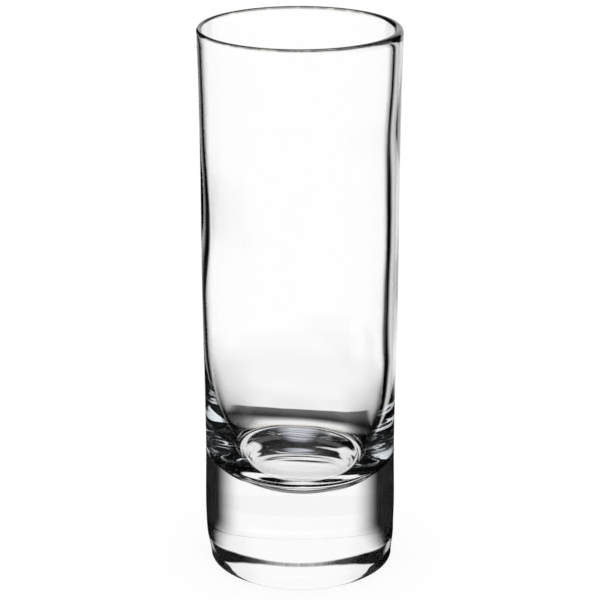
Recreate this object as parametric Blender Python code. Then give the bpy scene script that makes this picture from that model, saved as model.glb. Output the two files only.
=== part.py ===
"""Tall liqueur glass: one piece of clear glass, a slim straight wall standing on a heavy solid base.

The glass is turned from one half-profile. It runs from the middle of the bore's floor up the bore,
over the lip, down the outside, round the heel and foot, and in under the base to the axis.
Points are (radius, height) pairs in metres, from the axis and from the table.
"""
import math

import bpy

# Lip and outer wall
HEIGHT = 0.1055
RIM_RADIUS = 0.0190
LIP_THICKNESS = 0.00125
LIP_CROWN = 0.0008
NECK = (0.01878, 0.0940)
SHOULDER = (0.01868, 0.0780)
BELLY = (0.01870, 0.0530)
WAIST = (0.01836, 0.0250)
BASE_SWELL = (0.01855, 0.0110)

# Bore: a deep dished floor inside a narrow ledge, a long corner and a slightly waisted wall
FLOOR_RADIUS = 0.0120
FLOOR_EDGE_HEIGHT = 0.0209
FLOOR_DISH = 0.0048
CORNER_TOP = (0.01696, 0.0430)
LEDGE_POWER = 3.0
BORE_LOW = (0.01700, 0.0530)
BORE_PINCH = (0.01680, 0.0645)
BORE_HIGH = (0.01710, 0.0810)
BORE_NECK = (0.01750, 0.0940)

# Heel, foot and the hollow under the base
HEEL_TOP = (0.01845, 0.0065)
HEEL_TURN = (0.01836, 0.0044)
FOOT_SIDE = (0.01808, 0.0024)
FOOT_LOW = (0.01768, 0.0006)
FOOT_EDGE_ROUNDING = 0.00025
BEARING_INNER_RADIUS = 0.0162
PUNT_DEPTH = 0.0012

# Facets
TURN_STEPS = 64
FLOOR_STEPS = 6
CORNER_STEPS = 14
BORE_STEPS = 9
LIP_STEPS = 8
WALL_STEPS = 14
HEEL_STEPS = 6
ROUNDING_STEPS = 3
PUNT_STEPS = 5

# Finish
GLASS_COLOUR = (0.97, 0.98, 0.98, 1.0)
GLASS_ROUGHNESS = 0.02
GLASS_IOR = 1.52
AXIS_MERGE = 0.00001


def clear_scene():
    """Remove every object that is already in the scene."""
    for thing in list(bpy.data.objects):
        bpy.data.objects.remove(thing)


def elliptic_arc(centre, half_width, half_height, start, end, steps):
    """Points on an ellipse between two angles in degrees, counted from +radius towards +height."""
    points = []
    for step in range(steps + 1):
        angle = math.radians(start + (end - start) * step / steps)
        radius = centre[0] + half_width * math.cos(angle)
        height = centre[1] + half_height * math.sin(angle)
        points.append((radius, height))
    return points


def dished_arc(edge_radius, depth):
    """A shallow spherical cap's radius, and the angle in degrees from its axis to its edge."""
    cap_radius = (edge_radius**2 + depth**2) / (2 * depth)
    return cap_radius, math.degrees(math.asin(edge_radius / cap_radius))


def wall_through(stations, steps):
    """A smooth wall through a few stations, even in height: cubic pieces that share their slopes."""
    slopes = []
    last = len(stations) - 1
    for index in range(len(stations)):
        before = stations[max(index - 1, 0)]
        after = stations[min(index + 1, last)]
        slopes.append((after[0] - before[0]) / (after[1] - before[1]))
    top, bottom = stations[0][1], stations[last][1]
    points = []
    for step in range(steps + 1):
        height = top + (bottom - top) * step / steps
        index = 0
        while index < last - 1 and (height - stations[index + 1][1]) * (bottom - top) > 0:
            index += 1
        (r0, z0), (r1, z1) = stations[index], stations[index + 1]
        span = z1 - z0
        t = (height - z0) / span
        radius = (2 * t**3 - 3 * t**2 + 1) * r0 + (t**3 - 2 * t**2 + t) * span * slopes[index]
        radius += (3 * t**2 - 2 * t**3) * r1 + (t**3 - t**2) * span * slopes[index + 1]
        points.append((radius, height))
    return points


def rounded_corner(before, corner, after, rounding, steps):
    """The arc that rounds off the corner between two straight stretches."""
    to_before = math.atan2(before[1] - corner[1], before[0] - corner[0])
    to_after = math.atan2(after[1] - corner[1], after[0] - corner[0])
    opening = (to_after - to_before + math.pi) % (2 * math.pi) - math.pi
    middle = to_before + opening / 2
    reach = rounding / abs(math.sin(opening / 2))
    centre = (corner[0] + reach * math.cos(middle), corner[1] + reach * math.sin(middle))
    sweep = math.copysign(math.pi - abs(opening), -opening)
    first = middle + math.pi - sweep / 2
    points = []
    for step in range(steps + 1):
        angle = first + sweep * step / steps
        points.append((centre[0] + rounding * math.cos(angle), centre[1] + rounding * math.sin(angle)))
    return points


def floor_profile():
    """The dished floor, from its middle out to the edge where the ledge begins."""
    dish_radius, dish_angle = dished_arc(FLOOR_RADIUS, FLOOR_DISH)
    lowest = FLOOR_EDGE_HEIGHT - FLOOR_DISH
    dish_centre = (0.0, lowest + dish_radius)
    floor = elliptic_arc(dish_centre, dish_radius, dish_radius, -90, -90 + dish_angle, FLOOR_STEPS)
    floor[0] = (0.0, lowest)
    return floor


def corner_profile():
    """The ledge round the floor, which sweeps up into the wall: a rounded square stretched upward."""
    width = CORNER_TOP[0] - FLOOR_RADIUS
    rise = CORNER_TOP[1] - FLOOR_EDGE_HEIGHT
    points = []
    for step in range(CORNER_STEPS + 1):
        turn = math.pi / 2 * step / CORNER_STEPS
        radius = FLOOR_RADIUS + width * math.sin(turn) ** (2 / LEDGE_POWER)
        points.append((radius, CORNER_TOP[1] - rise * math.cos(turn)))
    return points


def bore_profile():
    """From the middle of the floor, out across the dish, round the corner and up to the lip."""
    lip_inside = (RIM_RADIUS - LIP_THICKNESS, HEIGHT - LIP_CROWN)
    stations = [CORNER_TOP, BORE_LOW, BORE_PINCH, BORE_HIGH, BORE_NECK, lip_inside]
    wall = wall_through(stations, BORE_STEPS)
    return floor_profile() + corner_profile()[1:] + wall[1:]


def lip_profile():
    """The fire-polished lip, a half round from the bore over to the outside."""
    centre = (RIM_RADIUS - LIP_THICKNESS / 2, HEIGHT - LIP_CROWN)
    return elliptic_arc(centre, LIP_THICKNESS / 2, LIP_CROWN, 180, 0, LIP_STEPS)


def outside_profile():
    """The outer wall from the lip down to the heel."""
    lip_outside = (RIM_RADIUS, HEIGHT - LIP_CROWN)
    return wall_through([lip_outside, NECK, SHOULDER, BELLY, WAIST, BASE_SWELL, HEEL_TOP], WALL_STEPS)


def foot_profile():
    """The tucked heel, the foot's edge, the flat bearing ring and the shallow hollow inside it."""
    heel = wall_through([HEEL_TOP, HEEL_TURN, FOOT_SIDE, FOOT_LOW], HEEL_STEPS)
    foot_edge = (FOOT_LOW[0], 0.0)
    bearing_inner = (BEARING_INNER_RADIUS, 0.0)
    edge = rounded_corner(FOOT_LOW, foot_edge, bearing_inner, FOOT_EDGE_ROUNDING, ROUNDING_STEPS)
    punt_radius, punt_angle = dished_arc(BEARING_INNER_RADIUS, PUNT_DEPTH)
    punt_centre = (0.0, PUNT_DEPTH - punt_radius)
    punt = elliptic_arc(punt_centre, punt_radius, punt_radius, 90 - punt_angle, 90, PUNT_STEPS)
    punt[0] = bearing_inner
    punt[-1] = (0.0, PUNT_DEPTH)
    return heel + edge + punt


def glass_material():
    """Clear, colourless polished glass."""
    material = bpy.data.materials.new("clear_glass")
    material.use_nodes = True
    shader = material.node_tree.nodes["Principled BSDF"]
    shader.inputs["Base Color"].default_value = GLASS_COLOUR
    shader.inputs["Metallic"].default_value = 0.0
    shader.inputs["Roughness"].default_value = GLASS_ROUGHNESS
    shader.inputs["IOR"].default_value = GLASS_IOR
    shader.inputs["Transmission Weight"].default_value = 1.0
    return material


def turned(name, profile, material):
    """A closed body of revolution about +Z, from a profile whose two ends lie on the axis."""
    mesh = bpy.data.meshes.new(name)
    edges = [(index, index + 1) for index in range(len(profile) - 1)]
    mesh.from_pydata([(radius, 0.0, height) for radius, height in profile], edges, [])
    body = bpy.data.objects.new(name, mesh)
    bpy.context.scene.collection.objects.link(body)
    screw = body.modifiers.new("turn", "SCREW")
    screw.axis = "Z"
    screw.angle = 2 * math.pi
    screw.steps = TURN_STEPS
    screw.render_steps = TURN_STEPS
    screw.use_merge_vertices = True
    screw.merge_threshold = AXIS_MERGE
    screw.use_smooth_shade = True
    mesh.materials.append(material)
    return body


def main():
    clear_scene()
    profile = bore_profile() + lip_profile()[1:] + outside_profile()[1:] + foot_profile()[1:]
    turned("glass_body", profile, glass_material())


main()
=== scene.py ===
"""Looks of the tall liqueur glass: clear glass on a white studio ground.

The glass is turned from one half-profile: up the bore, over the lip, down the outside, round the foot
and in under the base. Each ring of it may sit a little to one side, as in a real pressed glass.
Lengths are in metres, from the axis and from the table, and angles are in degrees.
"""
import math

import bpy
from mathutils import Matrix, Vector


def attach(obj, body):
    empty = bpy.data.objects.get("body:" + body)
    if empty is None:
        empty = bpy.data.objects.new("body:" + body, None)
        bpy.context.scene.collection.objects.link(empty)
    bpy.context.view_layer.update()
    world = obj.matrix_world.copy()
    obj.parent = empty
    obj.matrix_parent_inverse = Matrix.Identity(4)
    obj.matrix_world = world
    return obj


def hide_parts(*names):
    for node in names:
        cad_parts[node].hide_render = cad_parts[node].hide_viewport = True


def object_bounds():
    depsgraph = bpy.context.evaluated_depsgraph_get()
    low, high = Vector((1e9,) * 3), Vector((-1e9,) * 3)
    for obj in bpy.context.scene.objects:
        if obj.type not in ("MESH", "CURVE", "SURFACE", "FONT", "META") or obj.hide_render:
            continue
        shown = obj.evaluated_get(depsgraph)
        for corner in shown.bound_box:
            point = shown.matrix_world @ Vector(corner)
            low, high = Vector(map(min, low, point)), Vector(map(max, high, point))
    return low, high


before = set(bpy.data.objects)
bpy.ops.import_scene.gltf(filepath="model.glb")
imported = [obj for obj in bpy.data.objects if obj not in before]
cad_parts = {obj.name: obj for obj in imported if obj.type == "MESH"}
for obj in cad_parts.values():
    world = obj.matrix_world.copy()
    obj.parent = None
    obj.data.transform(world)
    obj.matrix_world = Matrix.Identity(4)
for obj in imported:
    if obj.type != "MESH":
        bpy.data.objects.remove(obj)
CAD_LOW, CAD_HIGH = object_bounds()

# Lip, outer wall, heel and foot, as (radius, height)
HEIGHT = CAD_HIGH[2]
RIM_RADIUS = CAD_HIGH[0]
LIP_THICKNESS = 0.00125
LIP_CROWN = 0.0008
NECK = (0.01878, 0.0940)
SHOULDER = (0.01868, 0.0780)
BELLY = (0.01870, 0.0530)
WAIST = (0.01836, 0.0250)
BASE_SWELL = (0.01855, 0.0110)
HEEL_TOP = (0.01845, 0.0065)
HEEL_TURN = (0.01836, 0.0044)
FOOT_SIDE = (0.01808, 0.0024)
FOOT_LOW = (0.01780, 0.0006)
FOOT_EDGE_ROUNDING = 0.00004
FOOT_DRIFT = 0.00025
BEARING_INNER_RADIUS = 0.0162
PUNT_DEPTH = 0.0012

# Bore: a dished floor, a long corner and a slightly waisted wall
FLOOR_RADIUS = 0.0121
FLOOR_EDGE_HEIGHT = 0.0196
FLOOR_DISH = 0.0040
FLOOR_LEAN = -0.012
CORNER_TOP = (0.01696, 0.0430)
BORE_LOW = (0.01700, 0.0530)
BORE_PINCH = (0.01680, 0.0645)
BORE_HIGH = (0.01710, 0.0810)
BORE_NECK = (0.01750, 0.0940)

# How far the middle of the bore lies to one side of the axis, as (shift, height)
BORE_DRIFT = (
    (0.0003, 0.0160), (-0.0006, 0.0430), (-0.0006, 0.0530), (-0.00022, 0.0645),
    (-0.00054, 0.0820), (-0.00042, 0.0940), (-0.0004, 0.1047),
)

# Fineness of the turned surface
TURN_STEPS = 320
FLOOR_STEPS = 30
CORNER_STEPS = 50
BORE_STEPS = 50
LIP_STEPS = 24
WALL_STEPS = 70
HEEL_STEPS = 40
ROUNDING_STEPS = 8
PUNT_STEPS = 20

# Clear glass, with a faint ripple that is calmer in the wall than in the base
GLASS_IOR = 1.52
SKIN_RADIUS = 0.01755
RIPPLE_SCALE = 110.0
RIPPLE_DETAIL = 1.0
RIPPLE_HEIGHT = 0.00003
CALM_HEIGHTS = (0.040, 0.060)
CALM_SHARE = 0.5

# Painted shade on the flanks of the base: the slant at which it starts, by the share of a height, and its
# soft edge
FLANK_LEAN = 2.43
FLANK_HEIGHT = 0.012
FLANK_START = (
    (0.0, 1.0), (0.35, 1.0), (0.383, 0.75), (0.458, 0.58),
    (0.592, 0.534), (0.725, 0.488), (0.875, 0.42), (1.0, 0.40),
)
FLANK_SOFT = 0.1425
FLANK_SOFT_AT_HEEL = 0.055
FLANK_SOFT_HEIGHTS = (0.0046, 0.0062)
FLANK_TOP = (0.0232, 0.0222)
FLANK_DEPTH = 0.985

# Fine upright lighter streaks in the painted flank shade
STREAK_SCALE = 60.0
STREAK_LENGTH = 90.0
STREAK_DETAIL = 3.0
STREAK_RANGE = (0.5, 0.8)
STREAK_CLEAR = 0.05

# Painted shade as a dark heel band and foot line, by slant: heights as shares of a span
HEEL_SPAN = 0.006
HEEL_UPPER = (
    (0.0, 0.985), (0.13, 0.985), (0.25, 0.985), (0.30, 0.968), (0.38, 0.945),
    (0.45, 0.90), (0.53, 0.858), (0.61, 0.825), (1.0, 0.80),
)
HEEL_LOWER = (
    (0.0, 0.86), (0.15, 0.85), (0.20, 0.825), (0.26, 0.76), (0.34, 0.685),
    (0.45, 0.53), (0.535, 0.40), (0.58, 0.33), (0.62, 0.0), (1.0, 0.0),
)
HEEL_SOFT = 0.00022
HEEL_DEPTH = 0.985
HEEL_END = (0.82, 0.70)
FOOT_LINE = (
    (0.0, -0.1), (0.15, -0.1), (0.22, 0.0), (0.26, 0.012), (0.30, 0.025), (0.335, 0.045),
    (0.39, 0.08), (0.42, 0.105), (0.48, 0.17), (0.53, 0.33), (1.0, 0.40),
)
FOOT_LINE_SOFT = 0.00012
FOOT_LINE_DEPTH = 0.96

# Fine lighter ribs in the painted heel band, where it faces forward
RIB_SCALE = 1400.0
RIB_DETAIL = 2.0
RIB_LEAST = 0.2
RIB_RANGE = 0.75
RIB_END = (0.11, 0.22)

# Painted shade on the sides of the bowl, by slant, fading upwards
BOWL_LEAN = -2.5
BOWL_SHADE = (
    (0.0, 0.0), (0.18, 0.003), (0.235, 0.010), (0.335, 0.025), (0.435, 0.045), (0.535, 0.065),
    (0.595, 0.10), (0.665, 0.30), (0.735, 0.70), (0.835, 1.0), (1.0, 1.0),
)
BOWL_SHADE_DEPTH = 5.0
BOWL_SHADE_HEIGHT = 0.0280
BOWL_SHADE_FADE = 0.0026
BOWL_INNER = (0.0128, 0.0140)

# Painted brownish shade on the lip, with lighter flecks
LIP_HEIGHTS = (0.1049, 0.1053)
LIP_SHADE_TONE = (1.0, 0.90, 0.80)
LIP_DARK = 0.68
LIP_FLECK_DARK = 0.30
LIP_FLECK_SCALE = 420.0
LIP_FLECK_DETAIL = 2.0
LIP_FLECK_RANGE = (0.50, 0.66)

# Surfaces that light passes on its way through solid glass, and across the bore too
SOLID_PASSES = 2
BORE_PASSES = 4
FEW_TURNS = 3

# Studio seen straight through the glass. In this and the next groups angles are elevations, unless
# they are named as azimuths. A pair is where a thing is nil and where it is full, and two pairs bound it.
EDGE = -35.4
EDGE_TILT = -5.0
EDGE_WAVES = 4
EDGE_SHARP = (-0.5, 0.3)
EDGE_SOFT = (-13.0, 0.3)
EDGE_SOFT_AZIMUTH = 4.0
EDGE_SOFT_RANGE = (0.35, 0.65)
BAND = (-58.0, -50.0)
BAND_BRIGHTNESS = 0.036
BAND_TOP = (-42.0, -34.0)
BAND_TOP_BRIGHTNESS = 0.144
ARCH = ((-40.0, -51.0), (-67.5, -64.0))
FLOOR_STREAK = ((-62.0, -68.0), (-88.0, -78.0))
FLOOR_STREAK_WIDTH = (0.15, 0.02)
FLOOR_STREAK_BRIGHTNESS = 0.9
FLOOR_LINES = 2.4
FLOOR_LINES_LEAST = 0.7
FLOOR_LINES_RANGE = 0.3
FLOOR_HAZE = (-62.0, -64.0)
FLOOR_HAZE_BRIGHTNESS = 0.03
FLOOR_BRIGHTNESS = 0.0024

# Studio seen after one turn in the glass: two dark cards, and dark low down at the sides
WALL_CARDS_AZIMUTH = (((-11.0, -31.0), (-47.0, -39.0)), ((30.0, 40.0), (56.0, 49.0)))
LOW_ASIDE = (-20.0, -25.0)
LOW_ASIDE_AZIMUTH = (45.0, 52.0)
LOW_BEHIND = (-25.0, -27.5)
LOW_BEHIND_AZIMUTH = (105.0, 125.0)
LEVEL = (6.0, 0.0)
UPWARD = (-4.0, 2.0)
DISH_SIDES = ((-32.0, -27.0), (8.0, 3.0))
DISH_SIDES_AZIMUTH = (50.0, 80.0)
DISH_SIDES_DIM_AZIMUTH = (93.0, 103.0)
DISH_SIDES_DIM = 0.8
FAR_WALL = ((-25.0, -22.0), (0.0, -3.0))

# Studio seen after two or three turns
RING_UNDER_BORE = ((-33.0, -36.5), (-48.0, -45.0))
RING_UNDER_BORE_AZIMUTH = (55.0, 40.0)
STEEP_DOWN = (-56.0, -59.0)
STEEP_UP = (40.0, 46.0)
STEEP_UP_BRIGHTNESS = 0.3
CHEEKS_AZIMUTH = ((40.0, 58.0), (100.0, 86.0))
CHEEKS_UP = (56.0, 60.0)
DIM_UP = (-25.0, -8.0)
DIM_UP_BRIGHTNESS = 0.08
DIM_BRIGHTNESS = 0.01
DISH_BACK = ((27.0, 40.0), (58.0, 46.0))

# Brightness of light that has run a long way in the glass, by the number of turns
LONGEST_RUN = 32
SPARKLE = (
    (0, 0.0), (4, 0.001), (5, 0.001), (6, 0.02), (7, 0.008), (8, 1.0),
    (9, 0.012), (10, 0.8), (11, 0.012), (12, 0.012), (LONGEST_RUN, 0.012),
)

# Studio mirrored in the outside of the glass
MIRROR_CARDS_AZIMUTH = (((-12.0, -16.0), (-56.0, -46.0)), ((30.0, 36.0), (64.0, 56.0)))
MIRROR_WALL = (-22.8, -22.0)
MIRROR_FRONT = (-24.6, -25.2)
MIRROR_FRONT_AZIMUTH = (100.0, 125.0)

# Least brightness of the room, and the tones that thick glass and its edges give to what is seen
ROOM_DARK = 0.001
MIRROR_DARK = 0.008
WHITE = (1.0, 1.0, 1.0, 1.0)
LONG_RUN_TONE = (0.90, 0.955, 1.0, 1.0)
FLOOR_TONE = (0.86, 0.89, 1.0, 1.0)
FLOOR_TONE_FROM = (-64.0, -68.0)
FRINGE_TONE = (1.0, 0.92, 0.80, 1.0)
FRINGE = ((-57.0, -61.0), (-68.0, -64.0))

# Ground, the part of it under the foot, and the soft light above
GROUND_REACH = 3.0
GROUND_HEIGHT = -0.00002
GROUND_COLOUR = (0.2, 0.2, 0.2, 1.0)
GROUND_ROUGHNESS = 0.9
GROUND_GLOW = 0.82
UNDER_FOOT_RADIUS = 0.0180
UNDER_FOOT_HEIGHT = -0.00005
UNDER_FOOT_SIDES = 96
LAMP_SIZE = 0.8
LAMP_HEIGHT = 1.2
LAMP_POWER = 0.6

# Camera, as the photograph was taken
IMAGE_SIDE = 600
FOCAL_PIXELS = 2103
SENSOR_WIDTH = 36.0
CAMERA_DISTANCE = 0.3781
CAMERA_HEIGHT = 0.1881
CAMERA_PITCH = 19.73
CAMERA_NEAREST = 0.01
MOST_BOUNCES = 48


def elliptic_arc(centre, half_width, half_height, start, end, steps):
    """Points on an ellipse between two angles, counted from +radius towards +height."""
    points = []
    for step in range(steps + 1):
        angle = math.radians(start + (end - start) * step / steps)
        radius = centre[0] + half_width * math.cos(angle)
        height = centre[1] + half_height * math.sin(angle)
        points.append((radius, height))
    return points


def dished_arc(edge_radius, depth):
    """A shallow spherical cap's radius, and the angle from its axis to its edge."""
    cap_radius = (edge_radius**2 + depth**2) / (2 * depth)
    return cap_radius, math.degrees(math.asin(edge_radius / cap_radius))


def value_at(stations, height):
    """The value at a height on the smooth curve through a few (value, height) stations."""
    last = len(stations) - 1
    upward = stations[last][1] > stations[0][1]
    slopes = []
    for index in range(len(stations)):
        before = stations[max(index - 1, 0)]
        after = stations[min(index + 1, last)]
        slopes.append((after[0] - before[0]) / (after[1] - before[1]))
    index = 0
    while index < last - 1 and (height > stations[index + 1][1]) == upward:
        index += 1
    (r0, z0), (r1, z1) = stations[index], stations[index + 1]
    span = z1 - z0
    t = (height - z0) / span
    value = (2 * t**3 - 3 * t**2 + 1) * r0 + (t**3 - 2 * t**2 + t) * span * slopes[index]
    return value + (3 * t**2 - 2 * t**3) * r1 + (t**3 - t**2) * span * slopes[index + 1]


def wall_through(stations, start, end, steps):
    """Points of the smooth wall through a few stations, even in height from a start to an end."""
    heights = [start + (end - start) * step / steps for step in range(steps + 1)]
    return [(value_at(stations, height), height) for height in heights]


def rounded_corner(before, corner, after, rounding, steps):
    """The arc that rounds off the corner between two straight stretches."""
    to_before = math.atan2(before[1] - corner[1], before[0] - corner[0])
    to_after = math.atan2(after[1] - corner[1], after[0] - corner[0])
    opening = (to_after - to_before + math.pi) % (2 * math.pi) - math.pi
    middle = to_before + opening / 2
    reach = rounding / abs(math.sin(opening / 2))
    centre = (corner[0] + reach * math.cos(middle), corner[1] + reach * math.sin(middle))
    sweep = math.copysign(math.pi - abs(opening), -opening)
    first = math.degrees(middle + math.pi - sweep / 2)
    return elliptic_arc(centre, rounding, rounding, first, first + math.degrees(sweep), steps)


def bore_profile():
    """From the middle of the floor, out across the dish, round the corner and up to the lip."""
    dish_radius, dish_angle = dished_arc(FLOOR_RADIUS, FLOOR_DISH)
    dish_centre = (0.0, FLOOR_EDGE_HEIGHT - FLOOR_DISH + dish_radius)
    floor = elliptic_arc(dish_centre, dish_radius, dish_radius, -90, -90 + dish_angle, FLOOR_STEPS)
    corner_centre = (FLOOR_RADIUS, CORNER_TOP[1])
    corner_width = CORNER_TOP[0] - FLOOR_RADIUS
    corner_rise = CORNER_TOP[1] - FLOOR_EDGE_HEIGHT
    corner = elliptic_arc(corner_centre, corner_width, corner_rise, -90, 0, CORNER_STEPS)
    lip_inside = (RIM_RADIUS - LIP_THICKNESS, HEIGHT - LIP_CROWN)
    stations = [CORNER_TOP, BORE_LOW, BORE_PINCH, BORE_HIGH, BORE_NECK, lip_inside]
    wall = wall_through(stations, CORNER_TOP[1], lip_inside[1], BORE_STEPS)
    return floor + corner[1:] + wall[1:]


def lip_profile():
    """The fire-polished lip, a half round from the bore over to the outside."""
    centre = (RIM_RADIUS - LIP_THICKNESS / 2, HEIGHT - LIP_CROWN)
    return elliptic_arc(centre, LIP_THICKNESS / 2, LIP_CROWN, 180, 0, LIP_STEPS)


def outside_profile():
    """The outer wall and the tucked heel, one smooth line from the lip down to the foot."""
    lip_outside = (RIM_RADIUS, HEIGHT - LIP_CROWN)
    wall_stations = [lip_outside, NECK, SHOULDER, BELLY, WAIST, BASE_SWELL]
    stations = wall_stations + [HEEL_TOP, HEEL_TURN, FOOT_SIDE, FOOT_LOW]
    wall = wall_through(stations, lip_outside[1], HEEL_TOP[1], WALL_STEPS)
    heel = wall_through(stations, HEEL_TOP[1], FOOT_LOW[1], HEEL_STEPS)
    return wall + heel[1:]


def foot_profile():
    """The foot's edge, the flat bearing ring and the shallow hollow inside it."""
    foot_edge = (FOOT_LOW[0], 0.0)
    bearing_inner = (BEARING_INNER_RADIUS, 0.0)
    edge = rounded_corner(FOOT_LOW, foot_edge, bearing_inner, FOOT_EDGE_ROUNDING, ROUNDING_STEPS)
    punt_radius, punt_angle = dished_arc(BEARING_INNER_RADIUS, PUNT_DEPTH)
    punt_centre = (0.0, PUNT_DEPTH - punt_radius)
    punt = elliptic_arc(punt_centre, punt_radius, punt_radius, 90 - punt_angle, 90, PUNT_STEPS)
    return edge + punt


def bore_drift_at(height):
    """How far the bore's middle lies off the axis, sideways, at a height."""
    lowest, highest = BORE_DRIFT[0][1], BORE_DRIFT[-1][1]
    return value_at(BORE_DRIFT, min(max(height, lowest), highest))


def bore_lean_at(height):
    """How much the bore tips sideways at a height: fully at the floor, not at all above the corner."""
    share = (CORNER_TOP[1] - height) / (CORNER_TOP[1] - FLOOR_EDGE_HEIGHT)
    return FLOOR_LEAN * min(max(share, 0.0), 1.0)


def foot_drift_at(height):
    """How far the outside lies off the axis at a height: fully at the table, not at all above the heel."""
    return FOOT_DRIFT * min(max(1 - height / HEEL_TOP[1], 0.0), 1.0)


def glass_rings():
    """Rings of radius, height, sideways shift and lean, from the bore's floor to the base."""
    rings = []
    for radius, height in bore_profile():
        rings.append((radius, height, bore_drift_at(height), bore_lean_at(height)))
    for step, (radius, height) in enumerate(lip_profile()[1:], start=1):
        rings.append((radius, height, bore_drift_at(HEIGHT) * (1 - step / LIP_STEPS), 0.0))
    for radius, height in outside_profile()[1:] + foot_profile():
        rings.append((radius, height, foot_drift_at(height), 0.0))
    return rings


def glass_mesh():
    """One closed skin over all rings, which comes to a point in the middle at both ends."""
    floor_middle, *rings, base_middle = glass_rings()
    vertices = [(floor_middle[2], 0.0, floor_middle[1])]
    for radius, height, shift, lean in rings:
        for turn in range(TURN_STEPS):
            angle = 2 * math.pi * turn / TURN_STEPS
            across = radius * math.cos(angle)
            vertices.append((across + shift, radius * math.sin(angle), height + lean * across))
    vertices.append((base_middle[2], 0.0, base_middle[1]))
    base_point = len(vertices) - 1
    last_ring = 1 + (len(rings) - 1) * TURN_STEPS
    faces = []
    for turn in range(TURN_STEPS):
        after = (turn + 1) % TURN_STEPS
        faces.append((0, 1 + turn, 1 + after))
        for ring in range(1, last_ring, TURN_STEPS):
            following = ring + TURN_STEPS
            faces.append((ring + turn, following + turn, following + after, ring + after))
        faces.append((base_point, last_ring + after, last_ring + turn))
    mesh = bpy.data.meshes.new("clear_glass_body")
    mesh.from_pydata(vertices, [], faces)
    mesh.update()
    mesh.shade_smooth()
    return mesh


class Nodes:
    """Builds a node tree, mostly by methods that add nodes and give back an output."""

    def __init__(self, tree):
        self.tree = tree

    def add(self, kind, **settings):
        """A new node with some of its settings."""
        node = self.tree.nodes.new(kind)
        for name, value in settings.items():
            setattr(node, name, value)
        return node

    def put(self, socket, value):
        """Link an output to a socket, or set the socket to a plain value."""
        if isinstance(value, bpy.types.NodeSocket):
            self.tree.links.new(value, socket)
        else:
            socket.default_value = value

    def math(self, operation, *values):
        """The result of one operation on some values."""
        node = self.add("ShaderNodeMath", operation=operation)
        for socket, value in zip(node.inputs, values):
            self.put(socket, value)
        return node.outputs[0]

    def product(self, first, *others):
        """All values multiplied."""
        for other in others:
            first = self.math("MULTIPLY", first, other)
        return first

    def largest(self, first, *others):
        """The largest of all values."""
        for other in others:
            first = self.math("MAXIMUM", first, other)
        return first

    def rest(self, value):
        """What a value leaves of 1."""
        return self.math("SUBTRACT", 1.0, value)

    def more_than(self, number, count):
        """1 where a whole number is more than a count, otherwise 0."""
        return self.math("GREATER_THAN", number, count + 0.5)

    def ramp(self, value, start, full):
        """A smooth step from 0 at the start to 1 where it is full, upwards or downwards."""
        node = self.add("ShaderNodeMapRange", interpolation_type="SMOOTHSTEP")
        self.put(node.inputs["Value"], value)
        node.inputs["From Min"].default_value = min(start, full)
        node.inputs["From Max"].default_value = max(start, full)
        node.inputs["To Min"].default_value = float(start > full)
        node.inputs["To Max"].default_value = float(start < full)
        return node.outputs["Result"]

    def between(self, value, coming_in, going_out):
        """Two smooth steps, one that brings something in and one that takes it out again."""
        return self.product(self.ramp(value, *coming_in), self.ramp(value, *going_out))

    def curve(self, value, points):
        """The height of a drawn curve at a value, which is kept between 0 and 1."""
        node = self.add("ShaderNodeFloatCurve")
        drawn = node.mapping.curves[0]
        drawn.points[0].location = points[0]
        drawn.points[1].location = points[-1]
        for point in points[1:-1]:
            drawn.points.new(*point)
        node.mapping.update()
        self.put(node.inputs["Value"], self.math("MAXIMUM", self.math("MINIMUM", value, 1.0), 0.0))
        return node.outputs["Value"]

    def blend(self, share, first, second):
        """A number between two others."""
        node = self.add("ShaderNodeMix")
        self.put(node.inputs[0], share)
        self.put(node.inputs[2], first)
        self.put(node.inputs[3], second)
        return node.outputs[0]

    def tint(self, share, first, second):
        """A colour between two others."""
        node = self.add("ShaderNodeMix", data_type="RGBA")
        self.put(node.inputs[0], share)
        self.put(node.inputs[6], first)
        self.put(node.inputs[7], second)
        return node.outputs[2]

    def noise(self, place, scale, detail, dimensions="3D"):
        """Soft noise at a place."""
        node = self.add("ShaderNodeTexNoise", noise_dimensions=dimensions)
        self.put(node.inputs["W" if dimensions == "1D" else "Vector"], place)
        node.inputs["Scale"].default_value = scale
        node.inputs["Detail"].default_value = detail
        return node.outputs[0]


class GlassPoint:
    """Where a point of the glass lies and how it is seen, as outputs of nodes."""

    def __init__(self, n):
        self.place = n.add("ShaderNodeTexCoord").outputs["Object"]
        split = n.add("ShaderNodeSeparateXYZ")
        n.put(split.inputs[0], self.place)
        self.x, self.y, self.z = split.outputs
        self.radius = n.math("SQRT", n.math("ADD", n.product(self.x, self.x), n.product(self.y, self.y)))
        self.skin = n.math("GREATER_THAN", self.radius, SKIN_RADIUS)
        weight = n.add("ShaderNodeLayerWeight")
        weight.inputs["Blend"].default_value = 0.5
        self.facing = weight.outputs["Facing"]
        self.slant = n.math("MULTIPLY_ADD", self.x, FLANK_LEAN, self.facing)
        self.entering = n.rest(n.add("ShaderNodeNewGeometry").outputs["Backfacing"])


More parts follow.
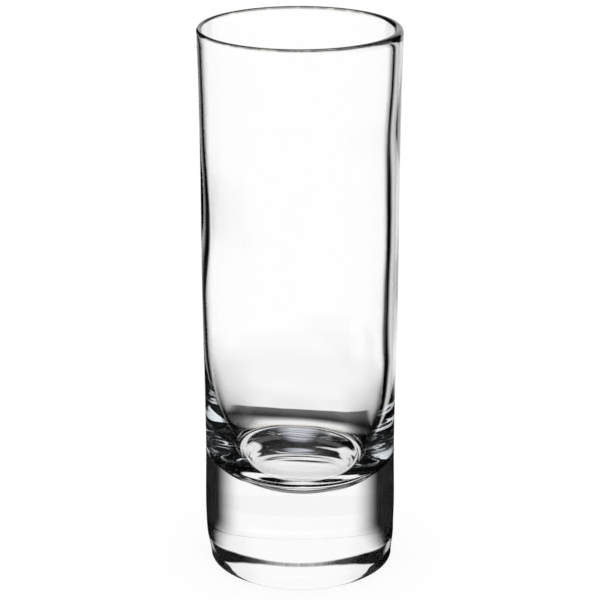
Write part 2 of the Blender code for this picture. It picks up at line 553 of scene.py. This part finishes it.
def painted_flank_shade(n, point):
    """Painted shade on the flanks of the solid base, where its skin is seen at a slant, with fine lighter
    streaks.
    """
    start = n.curve(n.math("DIVIDE", point.z, FLANK_HEIGHT), FLANK_START)
    soft = n.blend(n.ramp(point.z, *FLANK_SOFT_HEIGHTS), FLANK_SOFT_AT_HEEL, FLANK_SOFT)
    past = n.math("SUBTRACT", point.slant, n.math("SUBTRACT", start, soft))
    dark = n.ramp(n.math("DIVIDE", past, n.math("MULTIPLY", soft, 2.0)), 0.0, 1.0)
    around = n.add("ShaderNodeCombineXYZ")
    n.put(around.inputs[0], n.math("MULTIPLY", n.math("ARCTAN2", point.x, point.y), STREAK_SCALE))
    n.put(around.inputs[1], n.math("MULTIPLY", point.z, STREAK_LENGTH))
    streak = n.noise(around.outputs[0], 1.0, STREAK_DETAIL, "2D")
    clear = n.math("MULTIPLY", n.ramp(streak, *STREAK_RANGE), STREAK_CLEAR)
    return n.product(dark, FLANK_DEPTH, n.rest(clear), n.ramp(point.z, *FLANK_TOP), point.skin)


def painted_heel_shade(n, point):
    """Painted shade as a dark band round the heel, ribbed in front, and as the foot's line, thicker to the
    sides.
    """
    upper = n.math("MULTIPLY", n.curve(point.slant, HEEL_UPPER), HEEL_SPAN)
    lower = n.math("MULTIPLY", n.curve(point.slant, HEEL_LOWER), HEEL_SPAN)
    under = n.ramp(n.math("SUBTRACT", point.z, upper), HEEL_SOFT, -HEEL_SOFT)
    over = n.ramp(n.math("SUBTRACT", point.z, lower), -HEEL_SOFT, HEEL_SOFT)
    ribs = n.math("MULTIPLY_ADD", n.noise(point.x, RIB_SCALE, RIB_DETAIL, "1D"), RIB_RANGE, RIB_LEAST)
    depth = n.blend(n.ramp(point.slant, *RIB_END), ribs, HEEL_DEPTH)
    band = n.product(under, over, depth, n.ramp(point.slant, *HEEL_END))
    line = n.math("MULTIPLY", n.curve(point.slant, FOOT_LINE), HEEL_SPAN)
    foot = n.ramp(n.math("SUBTRACT", point.z, line), FOOT_LINE_SOFT, -FOOT_LINE_SOFT)
    return n.product(n.largest(band, n.product(foot, FOOT_LINE_DEPTH)), point.skin)


def painted_bowl_shade(n, point):
    """Painted shade on the sides of the bowl, deeper towards the floor and where the bore is seen at a
    slant.
    """
    slant = n.math("MULTIPLY_ADD", point.x, BOWL_LEAN, point.facing)
    fall = n.math("DIVIDE", n.math("SUBTRACT", BOWL_SHADE_HEIGHT, point.z), BOWL_SHADE_FADE)
    depth = n.product(n.curve(slant, BOWL_SHADE), n.math("EXPONENT", fall), -BOWL_SHADE_DEPTH)
    bore = n.product(n.ramp(point.radius, *BOWL_INNER), n.rest(point.skin))
    return n.product(n.rest(n.math("EXPONENT", depth)), bore)


def painted_lip_shade(n, point):
    """Painted shade on the lip, with lighter flecks in it."""
    flecks = n.noise(point.place, LIP_FLECK_SCALE, LIP_FLECK_DETAIL)
    dark = n.blend(n.ramp(flecks, *LIP_FLECK_RANGE), LIP_DARK, LIP_FLECK_DARK)
    return n.product(n.ramp(point.z, *LIP_HEIGHTS), dark)


def surface_ripple(n, point):
    """The faint ripple of a pressed surface, as a normal."""
    calm = n.blend(n.ramp(point.z, *CALM_HEIGHTS), 1.0, CALM_SHARE)
    bump = n.add("ShaderNodeBump")
    bump.inputs["Distance"].default_value = RIPPLE_HEIGHT
    n.put(bump.inputs["Height"], n.product(n.noise(point.place, RIPPLE_SCALE, RIPPLE_DETAIL), calm))
    return bump.outputs[0]


def glass_material():
    """Clear polished glass, with painted shade at the flanks, heel, bowl and lip, put into its colour
    where light goes in.
    """
    material = bpy.data.materials.new("clear_glass")
    material.use_nodes = True
    shader = material.node_tree.nodes["Principled BSDF"]
    shader.inputs["Base Color"].default_value = WHITE
    shader.inputs["Roughness"].default_value = 0.0
    shader.inputs["IOR"].default_value = GLASS_IOR
    shader.inputs["Transmission Weight"].default_value = 1.0
    n = Nodes(material.node_tree)
    point = GlassPoint(n)
    # Painted shade, darkening the glass's colour where light goes in
    painted_shades = [painted_flank_shade(n, point), painted_heel_shade(n, point), painted_bowl_shade(n, point), painted_lip_shade(n, point)]
    clear = n.rest(n.product(point.entering, n.largest(*painted_shades)))
    # The shader tints by the root of its colour at each surface, so the clear share is squared
    clear = n.product(clear, clear)
    # Where light goes in at the lip, the painted shade is tinted brownish
    warm = n.product(n.ramp(point.z, *LIP_HEIGHTS), point.entering)
    colour = n.add("ShaderNodeCombineColor")
    for socket, share in zip(colour.inputs, LIP_SHADE_TONE):
        n.put(socket, n.product(clear, n.blend(warm, 1.0, share)))
    n.put(shader.inputs["Base Color"], colour.outputs[0])
    n.put(shader.inputs["Normal"], surface_ripple(n, point))
    return material


class StudioRay:
    """A ray that reaches the studio: where it goes, and how often the glass passed or turned it."""

    def __init__(self, n):
        split = n.add("ShaderNodeSeparateXYZ")
        n.put(split.inputs[0], n.add("ShaderNodeTexCoord").outputs["Generated"])
        self.across, away, up = split.outputs
        self.azimuth = n.math("DEGREES", n.math("ARCTAN2", self.across, away))
        self.aside = n.math("ABSOLUTE", self.azimuth)
        self.elevation = n.math("DEGREES", n.math("ARCSINE", up))
        path = n.add("ShaderNodeLightPath")
        self.turns = path.outputs["Glossy Depth"]
        self.passes = path.outputs["Transmission Depth"]
        # Glass seen through counts as glossy too, so only the rest of the glossy rays are mirrored
        glossy = path.outputs["Is Glossy Ray"]
        self.mirrored = n.math("SUBTRACT", glossy, path.outputs["Is Transmission Ray"])
        self.plain = n.largest(path.outputs["Is Camera Ray"], path.outputs["Is Diffuse Ray"])
        self.through_bore = n.more_than(self.passes, SOLID_PASSES)


def seen_straight(n, ray):
    """White down to the table's edge, and below it a dark band, a light arch and the streaked floor."""
    wave = n.math("SINE", n.math("MULTIPLY", ray.azimuth, math.radians(EDGE_WAVES)))
    past_edge = n.math("SUBTRACT", n.math("MULTIPLY_ADD", wave, EDGE_TILT, ray.elevation), EDGE)
    end = n.math("SUBTRACT", ray.azimuth, EDGE_SOFT_AZIMUTH)
    end = n.math("SINE", n.math("MULTIPLY", end, math.radians(EDGE_WAVES)))
    end = n.ramp(n.math("ABSOLUTE", end), *EDGE_SOFT_RANGE)
    above = n.blend(end, n.ramp(past_edge, *EDGE_SHARP), n.ramp(past_edge, *EDGE_SOFT))
    above = n.blend(ray.through_bore, 1.0, above)
    arch = n.between(ray.elevation, *ARCH)
    lines = n.math("SINE", n.math("MULTIPLY", ray.elevation, FLOOR_LINES))
    lines = n.math("MULTIPLY_ADD", lines, FLOOR_LINES_RANGE, FLOOR_LINES_LEAST)
    width = n.ramp(n.math("ABSOLUTE", ray.across), *FLOOR_STREAK_WIDTH)
    streak = n.product(n.between(ray.elevation, *FLOOR_STREAK), width, lines, FLOOR_STREAK_BRIGHTNESS)
    haze = n.product(n.ramp(ray.elevation, *FLOOR_HAZE), FLOOR_HAZE_BRIGHTNESS)
    band = n.math("MULTIPLY_ADD", n.ramp(ray.elevation, *BAND), BAND_BRIGHTNESS, FLOOR_BRIGHTNESS)
    band = n.math("MULTIPLY_ADD", n.ramp(ray.elevation, *BAND_TOP), BAND_TOP_BRIGHTNESS, band)
    return n.largest(above, arch, streak, haze, band)


def seen_after_one_turn(n, ray):
    """White but for two cards and the low sides, and through the bore only the far wall and the dish."""
    cards = n.largest(*[n.between(ray.azimuth, *card) for card in WALL_CARDS_AZIMUTH])
    low = n.product(n.ramp(ray.elevation, *LOW_ASIDE), n.ramp(ray.aside, *LOW_ASIDE_AZIMUTH))
    low = n.blend(n.ramp(ray.aside, *LOW_BEHIND_AZIMUTH), low, n.ramp(ray.elevation, *LOW_BEHIND))
    level = n.product(n.rest(cards), n.rest(low), n.ramp(ray.elevation, *LEVEL))
    in_wall = n.largest(level, n.ramp(ray.elevation, *UPWARD))
    dim = n.rest(n.product(n.ramp(ray.aside, *DISH_SIDES_DIM_AZIMUTH), DISH_SIDES_DIM))
    dish = n.product(n.ramp(ray.aside, *DISH_SIDES_AZIMUTH), dim, n.between(ray.elevation, *DISH_SIDES))
    return n.blend(ray.through_bore, in_wall, n.largest(dish, n.between(ray.elevation, *FAR_WALL)))


def seen_after_more_turns(n, ray):
    """Mostly dark, with sparkle where the light has run a long way in the glass."""
    ring = n.between(ray.elevation, *RING_UNDER_BORE)
    ring = n.product(ring, n.ramp(ray.aside, *RING_UNDER_BORE_AZIMUTH))
    steep_up = n.product(n.ramp(ray.elevation, *STEEP_UP), STEEP_UP_BRIGHTNESS)
    in_wall = n.largest(ring, n.ramp(ray.elevation, *STEEP_DOWN), steep_up)
    dim = n.math("MULTIPLY_ADD", n.ramp(ray.elevation, *DIM_UP), DIM_UP_BRIGHTNESS, DIM_BRIGHTNESS)
    cheeks = n.largest(n.between(ray.aside, *CHEEKS_AZIMUTH), dim, n.ramp(ray.elevation, *CHEEKS_UP))
    many_passes = n.more_than(ray.passes, BORE_PASSES)
    dish = n.blend(many_passes, cheeks, n.between(ray.elevation, *DISH_BACK))
    few = n.blend(ray.through_bore, in_wall, dish)
    points = [(turns / LONGEST_RUN, brightness) for turns, brightness in SPARKLE]
    sparkle = n.curve(n.math("DIVIDE", ray.turns, LONGEST_RUN), points)
    return n.blend(n.more_than(ray.turns, FEW_TURNS), few, sparkle)


def seen_in_mirror(n, ray):
    """Mirrored in the outside: white in the wall and in front of the base, but for two dark cards."""
    cards = n.largest(*[n.between(ray.azimuth, *card) for card in MIRROR_CARDS_AZIMUTH])
    front = n.product(n.ramp(ray.elevation, *MIRROR_FRONT), n.ramp(ray.aside, *MIRROR_FRONT_AZIMUTH))
    white = n.product(n.largest(n.ramp(ray.elevation, *MIRROR_WALL), front), n.rest(cards))
    return n.math("MULTIPLY_ADD", white, 1 - MIRROR_DARK, MIRROR_DARK)


def studio_tone(n, ray):
    """Faintly blue after a long run in the glass and through the floor, and warm at the floor's edge."""
    straight_floor = n.product(ray.through_bore, n.rest(n.more_than(ray.turns, 0)))
    cool = n.product(n.ramp(ray.elevation, *FLOOR_TONE_FROM), straight_floor)
    fringe = n.product(n.between(ray.elevation, *FRINGE), straight_floor)
    tone = n.tint(n.more_than(ray.turns, FEW_TURNS), WHITE, LONG_RUN_TONE)
    tone = n.tint(cool, tone, FLOOR_TONE)
    return n.tint(fringe, tone, FRINGE_TONE)


def studio_world():
    """White to the camera and as soft light, with dark cards and a dark room that only the glass shows."""
    world = bpy.data.worlds.new("studio")
    bpy.context.scene.world = world
    world.use_nodes = True
    world.node_tree.nodes.clear()
    n = Nodes(world.node_tree)
    ray = StudioRay(n)
    seen = n.blend(n.more_than(ray.turns, 0), seen_straight(n, ray), seen_after_one_turn(n, ray))
    seen = n.blend(n.more_than(ray.turns, 1), seen, seen_after_more_turns(n, ray))
    seen = n.math("MULTIPLY_ADD", seen, 1 - ROOM_DARK, ROOM_DARK)
    shown = n.blend(ray.mirrored, seen, seen_in_mirror(n, ray))
    background = n.add("ShaderNodeBackground")
    n.put(background.inputs["Color"], studio_tone(n, ray))
    n.put(background.inputs["Strength"], n.blend(ray.plain, shown, 1.0))
    output = n.add("ShaderNodeOutputWorld")
    n.put(output.inputs["Surface"], background.outputs[0])


def placed(name, data):
    """A new object, put into the scene."""
    thing = bpy.data.objects.new(name, data)
    bpy.context.scene.collection.objects.link(thing)
    return thing


def flat_piece(name, corners, height, material):
    """A flat face through its corners at a height."""
    mesh = bpy.data.meshes.new(name)
    mesh.from_pydata([(x, y, height) for x, y in corners], [], [range(len(corners))])
    mesh.materials.append(material)
    return placed(name, mesh)


def clear_glass_body():
    """The whole glass, in place of its solid."""
    mesh = glass_mesh()
    mesh.materials.append(glass_material())
    glass = placed("clear_glass_body", mesh)
    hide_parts("glass_body")
    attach(glass, "root")


def white_under_foot():
    """White where it is seen straight through the base, and clear to light that was turned in it."""
    material = bpy.data.materials.new("ground_under_foot")
    material.use_nodes = True
    material.node_tree.nodes.clear()
    n = Nodes(material.node_tree)
    turns = n.add("ShaderNodeLightPath").outputs["Glossy Depth"]
    shown = n.add("ShaderNodeMixShader")
    n.put(shown.inputs[0], n.more_than(turns, 0))
    n.put(shown.inputs[1], n.add("ShaderNodeEmission").outputs[0])
    n.put(shown.inputs[2], n.add("ShaderNodeBsdfTransparent").outputs[0])
    output = n.add("ShaderNodeOutputMaterial")
    n.put(output.inputs["Surface"], shown.outputs[0])
    return material


def ground_under_foot():
    """The ground under the glass as it is seen through the base."""
    corners = []
    for side in range(UNDER_FOOT_SIDES):
        angle = 2 * math.pi * side / UNDER_FOOT_SIDES
        corners.append((UNDER_FOOT_RADIUS * math.cos(angle), UNDER_FOOT_RADIUS * math.sin(angle)))
    disc = flat_piece("ground_under_foot", corners, UNDER_FOOT_HEIGHT, white_under_foot())
    disc.visible_camera = False


def pale_material():
    """White ground that still takes a soft shadow."""
    material = bpy.data.materials.new("pale_ground")
    material.use_nodes = True
    shader = material.node_tree.nodes["Principled BSDF"]
    shader.inputs["Base Color"].default_value = GROUND_COLOUR
    shader.inputs["Roughness"].default_value = GROUND_ROUGHNESS
    shader.inputs["Specular IOR Level"].default_value = 0.0
    shader.inputs["Emission Color"].default_value = WHITE
    shader.inputs["Emission Strength"].default_value = GROUND_GLOW
    return material


def pale_ground():
    """Pale ground that the glass stands on. The glass shows the studio in its place."""
    reach = GROUND_REACH
    corners = [(-reach, -reach), (reach, -reach), (reach, reach), (-reach, reach)]
    ground = flat_piece("pale_ground", corners, GROUND_HEIGHT, pale_material())
    ground.visible_transmission = False
    ground.visible_glossy = False


def soft_lamp():
    """One large soft light overhead."""
    light = bpy.data.lights.new("soft_light", "AREA")
    light.shape = "SQUARE"
    light.size = LAMP_SIZE
    light.energy = LAMP_POWER
    lamp = placed("soft_light", light)
    lamp.location = (0.0, 0.0, LAMP_HEIGHT)
    lamp.visible_glossy = False
    lamp.visible_transmission = False


def photo_camera():
    """The camera, in front of the glass and looking down at it."""
    lens = bpy.data.cameras.new("camera")
    lens.sensor_width = SENSOR_WIDTH
    lens.lens = FOCAL_PIXELS * SENSOR_WIDTH / IMAGE_SIDE
    lens.clip_start = CAMERA_NEAREST
    camera = placed("camera", lens)
    camera.location = (0.0, -CAMERA_DISTANCE, CAMERA_HEIGHT)
    camera.rotation_euler = (math.radians(90 - CAMERA_PITCH), 0.0, 0.0)
    bpy.context.scene.camera = camera


clear_glass_body()
studio_world()
ground_under_foot()
pale_ground()
soft_lamp()
photo_camera()
scene = bpy.context.scene
scene.view_settings.view_transform = "Standard"
scene.cycles.max_bounces = MOST_BOUNCES
scene.cycles.transmission_bounces = MOST_BOUNCES
scene.cycles.glossy_bounces = LONGEST_RUN
